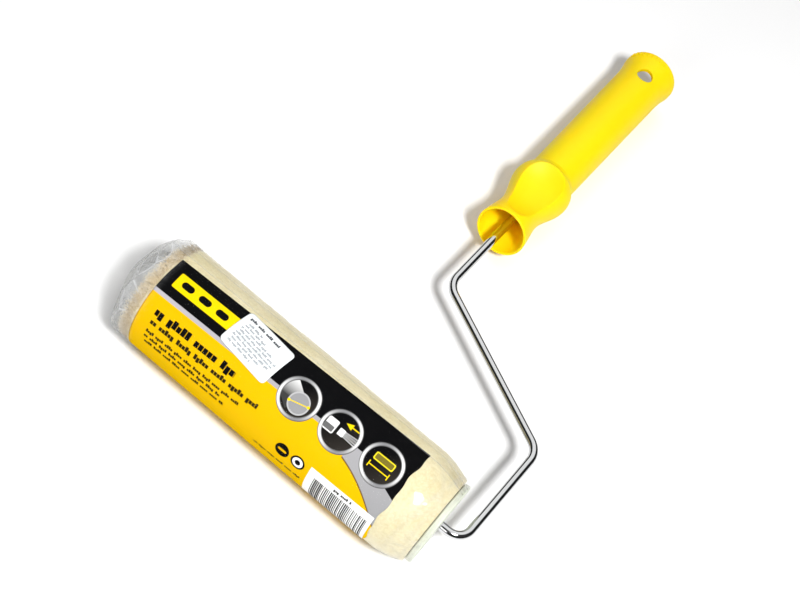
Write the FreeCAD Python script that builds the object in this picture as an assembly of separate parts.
import FreeCAD, Part
import math
import os

os.makedirs("parts", exist_ok=True)

# A wire-cage paint roller with a short-pile refill, still in its bag and label.
# It is designed flat: X is the roller's axis, pointing towards the rod's bend, Y runs
# from the roller to the handle, and Z is square to the plane of the bent rod.
# At the end everything is tilted to lie on the floor, on the refill and the handle's end.

# Refill sleeve, mm
SLEEVE_LENGTH = 175.0
CORE_BORE_R = 19.05
CORE_WALL = 1.6
PILE_R = 28.6
PILE_END_R = 23.6
STOP_SIDE_BEVEL = 7.0
STOP_SHOULDER_X = 2.45          # the bevel's knee, in from the sleeve's end
STOP_SHOULDER_R = 27.2
FREE_SIDE_BEVEL = 3.5
FREE_SIDE_END_R = 26.15

# Bag, label and price sticker, mm and degrees about the roller's axis
FILM_GAP = 0.3
FILM_THICK = 0.3
BAG_TAIL = 16.5
BAG_DOME_DEPTH = 11.0
BAG_DOME_BULGE_R = 48.0
BAG_CORNER = 2.6
BAG_CORNER_BULGE = 0.468
BAG_MOUTH_X = 86.5
LABEL_THICK = 0.25
LABEL_LEFT = -83.0
LABEL_RIGHT = 67.0
LABEL_TOP_DEG = 17.0
LABEL_WRAP_DEG = 209.0
STICKER_LONG = 30.6
STICKER_WIDE = 21.6
STICKER_THICK = 0.2
STICKER_X = -27.3
STICKER_DEG = -9.9
STICKER_SKEW_DEG = -7.5
STICKER_CORNER_R = 2.2

# Bent rod, mm
ROD_R = 2.5
ROD_FREE_END = -85.5
BEND_1 = (103.5, 0.0)
BEND_2 = (104.8, 66.7)
BEND_3 = (13.9, 113.4)
BEND_RADII = (8.5, 11.0, 12.0)
ROD_GRIP_END = 232.0
EAR_LENGTH = 4.0
EAR_SPAN = 8.0
EAR_THICK = 3.4
PADDLE_LENGTH = 12.0
PADDLE_SPAN = 6.6
PADDLE_THICK = 3.4
PADDLE_TO_END = 1.0
SWAGE_ROUND = 1.02
ROD_END_CHAMFER = 0.6

# Cage, mm: a cap is measured from its face towards the other cap
CAP_LENGTH = 15.0
CAP_R = 18.7
CAP_WALL = 1.6
CAP_END_WALL = 2.4
HUB_R = 8.5
HUB_FACE = 2.5
BUSH_R = 5.0
STOP_FLANGE_R = 23.0
STOP_FLANGE_THICK = 3.2
STOP_FLANGE_ROUND = 0.8
STOP_GAP = 0.3
FREE_CAP_FACE = -71.0
LEAD_IN = 1.6
BUSH_RECESS = 0.4
NUT_POCKET_R = 7.2
NUT_POCKET_DEPTH = 4.6
RIB_THICK = 4.4
RIB_TO_END = 0.5
WIRES = 5
WIRE_R = 1.0
WIRE_CAP_R = 16.3
WIRE_MIDDLE_R = 17.75
WIRE_LEG_END_R = 12.9
WIRE_LEG_DEPTH = 3.5
WIRE_BEND_R = 1.6
WIRE_END_STRAIGHT = 4.0
SLOT_CLEARANCE = 0.05
SLOT_HEADROOM = 0.3
RETAINER_THICK = 1.6
RETAINER_HUB_GAP = 0.2
RETAINER_WIRE_GAP = 0.1
RUNNING_CLEARANCE = 0.05
WASHER_R = 6.4
WASHER_BORE_R = 2.65
WASHER_THICK = 0.8
AXIAL_PLAY = 0.3
NUT_R = 5.6
NUT_RIM = 1.2
NUT_SHEET = 0.5
NUT_DOME = 1.5
NUT_SLIT = 0.7

# Handle, mm along Y
HANDLE_X = 13.9
MOUTH_Y = 163.6
MOUTH_TILT_DEG = 10.0
MOUTH_REACH = 3.4
MOUTH_R = 15.0
MOUTH_WALL = 1.4
MOUTH_ROUND = 0.55
THROAT_Y = 166.1                # the hood runs almost straight from the mouth to here
THROAT_R = 14.95
NECK_Y = 183.5
NECK_R = 12.7
GUARD_RISE_Y = 195.325          # halfway up from the neck to the guard
GUARD_RISE_R = 15.8
GUARD_Y = 205.0
GUARD_R = 18.1
GUARD_EDGE_Y = 210.3
GUARD_EDGE_R = 17.2
SHOULDER_Y = 212.6
SHOULDER_R = 15.65
GRIP_Y = 215.5
GRIP_R = 14.65
FLARE_Y = 317.0
FLARE_START_R = 15.5
FLARE_MIDDLE_Y = 323.7
FLARE_MIDDLE_R = 16.05
FLARE_END_Y = 330.4
HANDLE_END_Y = 334.4
HANDLE_END_R = 17.2
END_ROUND = 1.2
SHELL = 2.2
DISH_R = 31.1
DISH_Y = 188.4
DISH_UP = 38.5
DISH_WALL = 1.8
FRONT_CORE_END_Y = 238.0
ROD_BOSS_R = 5.6
ROD_BOSS_START_Y = 182.0
HANDLE_RIB_THICK = 1.8
SOCKET_R = 12.5
SOCKET_BOTTOM_Y = 248.0
SOCKET_LIP_Y = 309.0
SOCKET_MOUTH_R = 14.9
HANG_HOLE_R = 5.0
HANG_HOLE_Y = 315.4
GRIP_TICKS = 9
TICK_STEP_DEG = 9.5
TICK_FIRST_DEG = -62.0
TICK_HEIGHT = 0.35
TICK_LENGTH = 3.2
TICK_WIDTH = 0.9
TICK_ROOT = 2.0
TICK_TO_END = 1.4

HALF = SLEEVE_LENGTH / 2
FILM_R = PILE_R + FILM_GAP + FILM_THICK
STOP_FACE = HALF + STOP_GAP
STOP_CAP_FACE = STOP_FACE - CAP_LENGTH
BIG = 400.0

ORIGIN = FreeCAD.Vector(0, 0, 0)
X_AXIS = FreeCAD.Vector(1, 0, 0)
Y_AXIS = FreeCAD.Vector(0, 1, 0)
Z_AXIS = FreeCAD.Vector(0, 0, 1)


def at(x, y=0.0, z=0.0):
    return FreeCAD.Vector(x, y, z)


def turned_on_x(profile, degrees=360.0):
    """A solid of revolution about X from corners given as (x, radius)."""
    corners = [at(x, r) for x, r in profile]
    face = Part.Face(Part.makePolygon(corners + corners[:1]))
    return face.revolve(ORIGIN, X_AXIS, degrees)


def ring(inner, outer, start, end):
    """A plain tube on the X axis between two places along it."""
    return turned_on_x([(start, inner), (end, inner), (end, outer), (start, outer)])


def turned_on_y(edges):
    """A solid of revolution about Y from a closed chain of edges in the XY plane."""
    return Part.Face(Part.Wire(edges)).revolve(ORIGIN, Y_AXIS, 360)


def cone_on_y(radius_1, y_1, radius_2, y_2):
    if radius_1 == radius_2:
        return Part.makeCylinder(radius_1, y_2 - y_1, at(0, y_1), Y_AXIS)
    return Part.makeCone(radius_1, radius_2, y_2 - y_1, at(0, y_1), Y_AXIS)


def bent_wire(points, bend_radii, radius):
    """A round wire along straight runs, with a tangent arc at each inner point."""
    pieces = []
    start = points[0]
    for i, bend_r in enumerate(bend_radii, 1):
        incoming = (points[i] - points[i - 1]).normalize()
        outgoing = (points[i + 1] - points[i]).normalize()
        turn = incoming.getAngle(outgoing)
        setback = bend_r * math.tan(turn / 2)
        arc_start = points[i] - incoming * setback
        pieces.append(straight_wire(start, arc_start, radius))
        axis = incoming.cross(outgoing).normalize()
        centre = arc_start + axis.cross(incoming) * bend_r
        section = Part.Face(Part.Wire(Part.makeCircle(radius, arc_start, incoming)))
        pieces.append(section.revolve(centre, axis, math.degrees(turn)))
        start = points[i] + outgoing * setback
    pieces.append(straight_wire(start, points[-1], radius))
    return pieces[0].multiFuse(pieces[1:]).removeSplitter()


def straight_wire(start, end, radius):
    run = end - start
    return Part.makeCylinder(radius, run.Length, start, run)


def flattened(centre, length, span, thick, along):
    """A swaged stretch of rod: a flat block with rounded edges, centred on the rod."""
    size = (length, span, thick) if along == "x" else (span, length, thick)
    block = Part.makeBox(*size, centre - at(*size) * 0.5)
    return block.makeFillet(SWAGE_ROUND, block.Edges)


def around_x(shape, count):
    """Copies of a shape spaced evenly about the X axis."""
    copies = []
    for i in range(count):
        copy = shape.copy()
        copy.rotate(ORIGIN, X_AXIS, 360.0 * i / count)
        copies.append(copy)
    return copies


# --- refill sleeve and its packaging -------------------------------------------------


def sleeve_core():
    return ring(CORE_BORE_R, CORE_BORE_R + CORE_WALL, -HALF, HALF)


def sleeve_pile():
    """The woven pile, bevelled at both ends and most at the stop flange."""
    inner = CORE_BORE_R + CORE_WALL
    return turned_on_x(
        [
            (-HALF, inner),
            (HALF, inner),
            (HALF, PILE_END_R),
            (HALF - STOP_SHOULDER_X, STOP_SHOULDER_R),
            (HALF - STOP_SIDE_BEVEL, PILE_R),
            (-HALF + FREE_SIDE_BEVEL, PILE_R),
            (-HALF, FREE_SIDE_END_R),
        ]
    )


def label():
    """The printed paper, wrapped over the top and down round the front."""
    sheet = turned_on_x(
        [
            (LABEL_LEFT, PILE_R),
            (LABEL_RIGHT, PILE_R),
            (LABEL_RIGHT, PILE_R + LABEL_THICK),
            (LABEL_LEFT, PILE_R + LABEL_THICK),
        ],
        LABEL_WRAP_DEG,
    )
    sheet.rotate(ORIGIN, X_AXIS, 90 - LABEL_TOP_DEG)
    return sheet


def bag_profile(radius, x_closed):
    """The bag's half section: domed closed end, round corner, long side, mouth, axis."""
    shoulder_r = radius - BAG_CORNER
    dome_middle_r = shoulder_r / 2
    dome_middle = at(x_closed + sagitta(dome_middle_r), dome_middle_r)
    shoulder = at(x_closed + sagitta(shoulder_r), shoulder_r)
    side_start = at(x_closed + BAG_DOME_DEPTH, radius)
    corner = (shoulder + side_start) * 0.5 + at(-1, 1) * BAG_CORNER_BULGE
    mouth = at(BAG_MOUTH_X, radius)
    return Part.Wire(
        [
            Part.Arc(at(x_closed), dome_middle, shoulder).toShape(),
            Part.Arc(shoulder, corner, side_start).toShape(),
            Part.makeLine(side_start, mouth),
            Part.makeLine(mouth, at(BAG_MOUTH_X)),
            Part.makeLine(at(BAG_MOUTH_X), at(x_closed)),
        ]
    )


def sagitta(radius):
    """How far the bag's domed end falls back at a radius from its tip."""
    return BAG_DOME_BULGE_R - math.sqrt(BAG_DOME_BULGE_R**2 - radius**2)


def film_bag():
    """The clear bag: closed past the free end, open at the stop flange."""
    x_closed = -HALF - BAG_TAIL
    outer = Part.Face(bag_profile(FILM_R, x_closed)).revolve(ORIGIN, X_AXIS, 360)
    inside = bag_profile(FILM_R - FILM_THICK, x_closed + FILM_THICK)
    return outer.cut(Part.Face(inside).revolve(ORIGIN, X_AXIS, 360))


def price_sticker():
    """A round-cornered paper sticker that follows the bag's curve."""
    block = Part.makeBox(
        STICKER_LONG,
        STICKER_WIDE,
        BIG,
        at(-STICKER_LONG / 2, -STICKER_WIDE / 2, 0),
    )
    upright = [e for e in block.Edges if abs(e.tangentAt(e.FirstParameter).z) > 0.9]
    block = block.makeFillet(STICKER_CORNER_R, upright)
    block.rotate(ORIGIN, Z_AXIS, STICKER_SKEW_DEG)
    block.translate(at(STICKER_X, 0, 0))
    block.rotate(ORIGIN, X_AXIS, -STICKER_DEG)
    skin = ring(FILM_R, FILM_R + STICKER_THICK, STICKER_X - HALF, STICKER_X + HALF)
    return skin.common(block)


# --- cage ----------------------------------------------------------------------------


def on_stop_side(shape):
    """Moves a cap-side shape from its own place to the stop-flange end."""
    shape.translate(at(STOP_CAP_FACE))
    return shape


def on_free_side(shape):
    """Mirrors a cap-side shape to the free end of the roller."""
    shape = shape.mirror(ORIGIN, X_AXIS)
    shape.translate(at(FREE_CAP_FACE))
    return shape


def wire_slots():
    width = 2 * (WIRE_R + SLOT_CLEARANCE)
    depth = WIRE_LEG_DEPTH + WIRE_R + SLOT_CLEARANCE
    reach = WIRE_CAP_R + WIRE_R + SLOT_HEADROOM
    return around_x(Part.makeBox(depth + 1, reach, width, at(-1, 0, -width / 2)), WIRES)


def cap_blank(end_r, end_wall_start, length):
    """A cap without its holes: barrel, hub, end wall and one rib for each wire."""
    barrel = ring(CAP_R - CAP_WALL, CAP_R, 0, CAP_LENGTH)
    hub = ring(BUSH_R, HUB_R, HUB_FACE, length)
    end_wall = ring(BUSH_R, end_r, end_wall_start, length)
    rib = Part.makeBox(
        CAP_LENGTH - HUB_FACE - RIB_TO_END,
        CAP_R - HUB_R,
        RIB_THICK,
        at(HUB_FACE, HUB_R - 1, -RIB_THICK / 2),
    )
    blank = barrel.multiFuse([hub, end_wall] + around_x(rib, WIRES))
    slots = wire_slots()
    cut = blank.cut(slots[0].multiFuse(slots[1:]).cut(ring(0, HUB_R, -1, CAP_LENGTH)))
    return cut.removeSplitter()


def inner_end_cap():
    """The cap at the rod's bend, with the flange that stops the sleeve."""
    length = CAP_LENGTH + STOP_FLANGE_THICK
    cap = cap_blank(STOP_FLANGE_R, CAP_LENGTH, length)
    rim = [
        e
        for e in cap.Edges
        if abs(e.BoundBox.YLength - 2 * STOP_FLANGE_R) < 0.1 and e.BoundBox.XLength < 0.1
    ]
    return on_stop_side(cap.makeFillet(STOP_FLANGE_ROUND, rim))


def outer_end_cap():
    """The cap at the free end, with a pocket for the push nut and a lead-in."""
    cap = cap_blank(CAP_R, CAP_LENGTH - CAP_END_WALL, CAP_LENGTH)
    pocket = ring(0, NUT_POCKET_R, CAP_LENGTH - NUT_POCKET_DEPTH, CAP_LENGTH + 1)
    past_end, past_rim = CAP_LENGTH + 1, CAP_R + 1
    lead_in = turned_on_x(
        [(CAP_LENGTH - LEAD_IN, past_rim), (past_end, past_rim), (past_end, CAP_R - LEAD_IN)]
    )
    return on_free_side(cap.cut(pocket).cut(lead_in))


def inner_bearing():
    """A plastic bush that turns on the rod, pressed into the flanged cap."""
    end = CAP_LENGTH + STOP_FLANGE_THICK - BUSH_RECESS
    return on_stop_side(ring(ROD_R + RUNNING_CLEARANCE, BUSH_R, HUB_FACE, end))


def outer_bearing():
    end = CAP_LENGTH - NUT_POCKET_DEPTH
    return on_free_side(ring(ROD_R + RUNNING_CLEARANCE, BUSH_R, HUB_FACE, end))


def wire_retainer():
    """A snap ring that shuts the wires' hooked ends into the cap's slots."""
    start = HUB_FACE - RETAINER_THICK
    outer = WIRE_CAP_R - WIRE_BEND_R - RETAINER_WIRE_GAP
    return ring(HUB_R + RETAINER_HUB_GAP, outer, start, HUB_FACE)


def cage_wire():
    """One bowed spring wire; its middle stands out furthest, to grip the core."""
    start = FREE_CAP_FACE - WIRE_LEG_DEPTH
    end = STOP_CAP_FACE + WIRE_LEG_DEPTH
    half = (end - start) / 2
    bow_setback = half - WIRE_BEND_R - WIRE_END_STRAIGHT
    slope = (WIRE_MIDDLE_R - WIRE_CAP_R) / (half - bow_setback / 2)
    peak = WIRE_CAP_R + slope * half
    points = [
        at(start, WIRE_LEG_END_R),
        at(start, WIRE_CAP_R),
        at(start + half, peak),
        at(end, WIRE_CAP_R),
        at(end, WIRE_LEG_END_R),
    ]
    radii = [WIRE_BEND_R, bow_setback / math.tan(math.atan(slope)), WIRE_BEND_R]
    return bent_wire(points, radii, WIRE_R)


# --- rod and what is fixed on it -----------------------------------------------------


def frame_rod():
    """The bent steel rod, with two swaged ears and a flattened grip end."""
    corners = [at(*BEND_1), at(*BEND_2), at(*BEND_3)]
    points = [at(ROD_FREE_END)] + corners + [at(HANDLE_X, ROD_GRIP_END)]
    rod = bent_wire(points, BEND_RADII, ROD_R)
    end_face = min(rod.Faces, key=lambda face: face.CenterOfMass.x)
    rod = rod.makeChamfer(ROD_END_CHAMFER, end_face.Edges)
    inner_face = FREE_CAP_FACE - HUB_FACE + AXIAL_PLAY + WASHER_THICK
    ears = flattened(at(inner_face + EAR_LENGTH / 2), EAR_LENGTH, EAR_SPAN, EAR_THICK, "x")
    paddle_middle = at(HANDLE_X, ROD_GRIP_END - PADDLE_LENGTH / 2 - PADDLE_TO_END)
    paddle = flattened(paddle_middle, PADDLE_LENGTH, PADDLE_SPAN, PADDLE_THICK, "y")
    return rod.multiFuse([ears, paddle])


def inner_thrust_washer():
    """Between the rod's ears and the free end's bush."""
    end = HUB_FACE - AXIAL_PLAY
    return on_free_side(ring(WASHER_BORE_R, WASHER_R, end - WASHER_THICK, end))


def outer_thrust_washer():
    """Between the free end's bush and the push nut."""
    start = CAP_LENGTH - NUT_POCKET_DEPTH + AXIAL_PLAY
    return on_free_side(ring(WASHER_BORE_R, WASHER_R, start, start + WASHER_THICK))


def push_nut():
    """A domed spring-steel nut with its inner rim slit into teeth."""
    start = CAP_LENGTH - NUT_POCKET_DEPTH + AXIAL_PLAY + WASHER_THICK
    nut = turned_on_x(
        [
            (start, NUT_R),
            (start, NUT_R - NUT_RIM),
            (start + NUT_DOME, ROD_R),
            (start + NUT_DOME + NUT_SHEET, ROD_R),
            (start + NUT_SHEET, NUT_R - NUT_RIM + 0.2),
            (start + NUT_SHEET, NUT_R),
        ]
    )
    slit_reach = (NUT_R + ROD_R) / 2
    slit = Part.makeBox(5, slit_reach, NUT_SLIT, at(start - 1, 0, -NUT_SLIT / 2))
    slits = around_x(slit, 6)
    return on_free_side(nut.cut(slits[0].multiFuse(slits[1:])))


# --- handle --------------------------------------------------------------------------


def handle_outline(inset):
    """The handle's side from mouth to end, moved in towards the axis by inset."""
    thinner = max(0.0, inset - MOUTH_WALL)
    front = [
        (MOUTH_R + thinner, MOUTH_Y - MOUTH_REACH),
        (THROAT_R + 0.9 * thinner, THROAT_Y),
        (NECK_R, NECK_Y),
        (GUARD_RISE_R, GUARD_RISE_Y),
        (GUARD_R, GUARD_Y),
        (GUARD_EDGE_R, GUARD_EDGE_Y),
    ]
    curve = Part.BSplineCurve()
    curve.interpolate([at(r - inset, y) for r, y in front])
    shoulder_top = at(GUARD_EDGE_R - inset, GUARD_EDGE_Y)
    grip_start = at(GRIP_R - inset, GRIP_Y)
    flare_start = at(FLARE_START_R - inset, FLARE_Y)
    flare_middle = at(FLARE_MIDDLE_R - inset, FLARE_MIDDLE_Y)
    end_top = at(HANDLE_END_R - inset, FLARE_END_Y)
    end = at(HANDLE_END_R - inset, HANDLE_END_Y)
    shoulder_middle = at(SHOULDER_R - inset, SHOULDER_Y)
    return [
        curve.toShape(),
        Part.Arc(shoulder_top, shoulder_middle, grip_start).toShape(),
        Part.makeLine(grip_start, flare_start),
        Part.Arc(flare_start, flare_middle, end_top).toShape(),
        Part.makeLine(end_top, end),
    ]


def closed_on_axis(edges):
    """Closes an outline that runs beside the Y axis, so that it can be turned."""
    first = edges[0].valueAt(edges[0].FirstParameter)
    last = edges[-1].valueAt(edges[-1].LastParameter)
    return edges + [
        Part.makeLine(last, at(0, last.y)),
        Part.makeLine(at(0, last.y), at(0, first.y)),
        Part.makeLine(at(0, first.y), first),
    ]


def in_front_of_mouth():
    """The space before the mouth's plane, which leans back towards the top."""
    space = Part.makeBox(BIG, BIG, BIG, at(-BIG / 2, MOUTH_Y - BIG, -BIG / 2))
    space.rotate(at(0, MOUTH_Y), X_AXIS, -MOUTH_TILT_DEG)
    return space


def thumb_dish(extra):
    return Part.makeSphere(DISH_R + extra, at(0, DISH_Y, DISH_UP))


def front_hollow():
    """The hood's hollow, which keeps a wall under the dish and round the rod's boss."""
    lining = turned_on_y(closed_on_axis(handle_outline(SHELL)))
    keep = cone_on_y(2 * GUARD_R, MOUTH_Y - MOUTH_REACH - 1, 2 * GUARD_R, FRONT_CORE_END_Y)
    hollow = lining.common(keep)
    boss = cone_on_y(ROD_BOSS_R, ROD_BOSS_START_Y, ROD_BOSS_R, FRONT_CORE_END_Y + 1)
    rib_length = FRONT_CORE_END_Y - ROD_BOSS_START_Y + 1
    rib = Part.makeBox(
        2 * GUARD_R,
        rib_length,
        HANDLE_RIB_THICK,
        at(-GUARD_R, ROD_BOSS_START_Y, -HANDLE_RIB_THICK / 2),
    )
    cross_rib = rib.copy()
    cross_rib.rotate(ORIGIN, Y_AXIS, 90)
    return hollow.cut(boss.multiFuse([rib, cross_rib, thumb_dish(DISH_WALL)]))


def pole_socket():
    """The bore for an extension pole, with a flared mouth."""
    bore = cone_on_y(SOCKET_R, SOCKET_BOTTOM_Y, SOCKET_R, SOCKET_LIP_Y)
    flare = cone_on_y(SOCKET_R, SOCKET_LIP_Y, SOCKET_MOUTH_R, HANDLE_END_Y + 0.01)
    return bore.fuse(flare)


def end_ticks():
    """Short raised ticks round the end, as a finger stop."""
    corner = at(
        -TICK_WIDTH / 2,
        HANDLE_END_Y - TICK_TO_END - TICK_LENGTH,
        HANDLE_END_R - TICK_ROOT + TICK_HEIGHT,
    )
    tick = Part.makeBox(TICK_WIDTH, TICK_LENGTH, TICK_ROOT, corner)
    ticks = []
    for i in range(GRIP_TICKS):
        copy = tick.copy()
        copy.rotate(ORIGIN, Y_AXIS, TICK_FIRST_DEG + i * TICK_STEP_DEG)
        ticks.append(copy)
    return ticks


def handle(rod):
    """The moulded handle: hood, thumb dish, guard, grip and pole socket in one piece."""
    body = turned_on_y(closed_on_axis(handle_outline(0)))
    end_rim = [
        e
        for e in body.Edges
        if e.BoundBox.YLength < 0.01 and abs(e.BoundBox.YMin - HANDLE_END_Y) < 0.01
    ]
    body = body.makeFillet(END_ROUND, end_rim)
    body = body.cut(thumb_dish(0)).cut(front_hollow()).cut(pole_socket())
    body = body.cut(in_front_of_mouth())
    lean = math.tan(math.radians(MOUTH_TILT_DEG))
    mouth_rims = [
        e
        for e in body.Edges
        if e.Length > MOUTH_R
        and all(abs(p.y - MOUTH_Y - p.z * lean) < 0.01 for p in e.discretize(12))
    ]
    body = body.makeFillet(MOUTH_ROUND, mouth_rims)
    hang_hole = Part.makeCylinder(HANG_HOLE_R, BIG, at(0, HANG_HOLE_Y, -BIG / 2), Z_AXIS)
    body = body.cut(hang_hole).multiFuse(end_ticks())
    body.translate(at(HANDLE_X))
    return body.cut(rod)


# --- assembly ------------------------------------------------------------------------


def resting_tilt():
    """The tilt that brings the handle's end down to the floor beside the sleeve."""
    reach = math.hypot(HANDLE_END_Y - END_ROUND, HANDLE_END_R)
    return math.asin(FILM_R / reach) - math.atan2(HANDLE_END_R, HANDLE_END_Y - END_ROUND)


def built_flat():
    rod = frame_rod()
    nodes = {
        "handle": handle(rod),
        "frame_rod": rod,
        "inner_thrust_washer": inner_thrust_washer(),
        "outer_thrust_washer": outer_thrust_washer(),
        "push_nut": push_nut(),
        "inner_end_cap": inner_end_cap(),
        "outer_end_cap": outer_end_cap(),
        "inner_bearing": inner_bearing(),
        "outer_bearing": outer_bearing(),
        "inner_wire_retainer": on_stop_side(wire_retainer()),
        "outer_wire_retainer": on_free_side(wire_retainer()),
        "sleeve_core": sleeve_core(),
        "sleeve_pile": sleeve_pile(),
        "label": label(),
        "film_bag": film_bag(),
        "price_sticker": price_sticker(),
    }
    for i, wire in enumerate(around_x(cage_wire(), WIRES), 1):
        nodes[f"cage_wire_{i}"] = wire
    return nodes


def placed(nodes):
    """Lays the flat design on the floor, with the origin under its box's middle."""
    for shape in nodes.values():
        shape.rotate(ORIGIN, X_AXIS, -math.degrees(resting_tilt()))
        shape.translate(at(0, 0, FILM_R))
    box = FreeCAD.BoundBox()
    for shape in nodes.values():
        box.add(shape.optimalBoundingBox(False))
    middle = at((box.XMin + box.XMax) / 2, (box.YMin + box.YMax) / 2, box.ZMin)
    for shape in nodes.values():
        shape.translate(middle * -1)
    return nodes, middle


def main():
    nodes, middle = placed(built_flat())
    for name, shape in nodes.items():
        if shape.ShapeType == "Compound" and len(shape.Solids) == 1:
            shape = shape.Solids[0]
        shape.exportStep(f"parts/{name}.step")
        print(f"{name:22s} solids {len(shape.Solids)} valid {shape.isValid()} {shape.Volume:9.1f} mm3")
    print("tilt", round(math.degrees(resting_tilt()), 4), "origin moved by", middle)


main()
